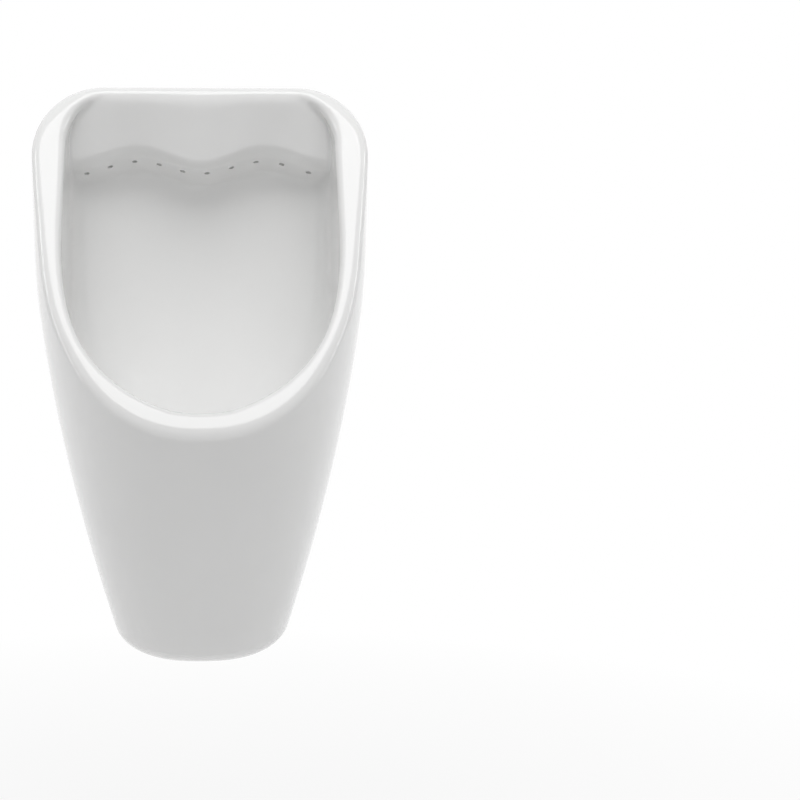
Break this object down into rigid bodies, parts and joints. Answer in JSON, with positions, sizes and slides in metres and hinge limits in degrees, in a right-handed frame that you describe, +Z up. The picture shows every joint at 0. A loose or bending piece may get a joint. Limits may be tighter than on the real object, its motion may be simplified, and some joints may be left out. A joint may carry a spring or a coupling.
{
  "type": "wall-hung urinal",
  "caption": "Wall-hung glazed ceramic urinal with a tapering bowl, flush ledge with spray holes, side fixings under caps, lift-out strainer and concealed bottle trap.",
  "frame": {"origin": "on the wall plane, midway between the two fixing bolts", "axes": "+X to the right as the user sees it, +Y into the wall, +Z up"},
  "size_m": [0.3332, 0.3486, 0.56],
  "materials": {
    "glazed_china": "gloss",
    "white_cap_plastic": "gloss",
    "zinc_steel": "satin",
    "grey_nylon": "matte",
    "chrome": "polished",
    "brass": "satin",
    "trap_plastic": "satin",
    "rubber": "matte"
  },
  "bodies": {
    "root": {"ceramic_body": "glazed_china", "hanger_bolt_left": "zinc_steel", "hanger_bolt_right": "zinc_steel", "bolt_washer_left": "zinc_steel", "bolt_washer_right": "zinc_steel", "bolt_nut_left": "zinc_steel", "bolt_nut_right": "zinc_steel", "wall_plug_left": "grey_nylon", "wall_plug_right": "grey_nylon", "bolt_bush_left": "grey_nylon", "bolt_bush_right": "grey_nylon", "inlet_pipe": "chrome", "waste_flange": "chrome", "waste_back_nut": "brass", "trap_head": "trap_plastic", "trap_inlet_nut": "trap_plastic", "trap_cup": "trap_plastic", "outlet_nut": "trap_plastic", "outlet_pipe": "trap_plastic", "inlet_seal": "rubber", "waste_top_seal": "rubber", "waste_bottom_seal": "rubber", "trap_inlet_seal": "rubber", "trap_cup_seal": "rubber", "outlet_seal": "rubber"},
    "cap_left": {"bolt_cap_left": "white_cap_plastic"},
    "cap_right": {"bolt_cap_right": "white_cap_plastic"},
    "strainer": {"strainer_grid": "chrome", "dip_tube": "trap_plastic", "dip_tube_seal": "rubber"}
  },
  "joints": [
    {"name": "cap_left_pull", "type": "slide", "parent": "root", "child": "cap_left", "axis": [0, -1, 0], "range_m": [0, 0.014]},
    {"name": "cap_right_pull", "type": "slide", "parent": "root", "child": "cap_right", "axis": [0, -1, 0], "range_m": [0, 0.014]},
    {"name": "strainer_lift", "type": "slide", "parent": "root", "child": "strainer", "axis": [0, 0, 1], "range_m": [0, 0.15]}
  ]
}
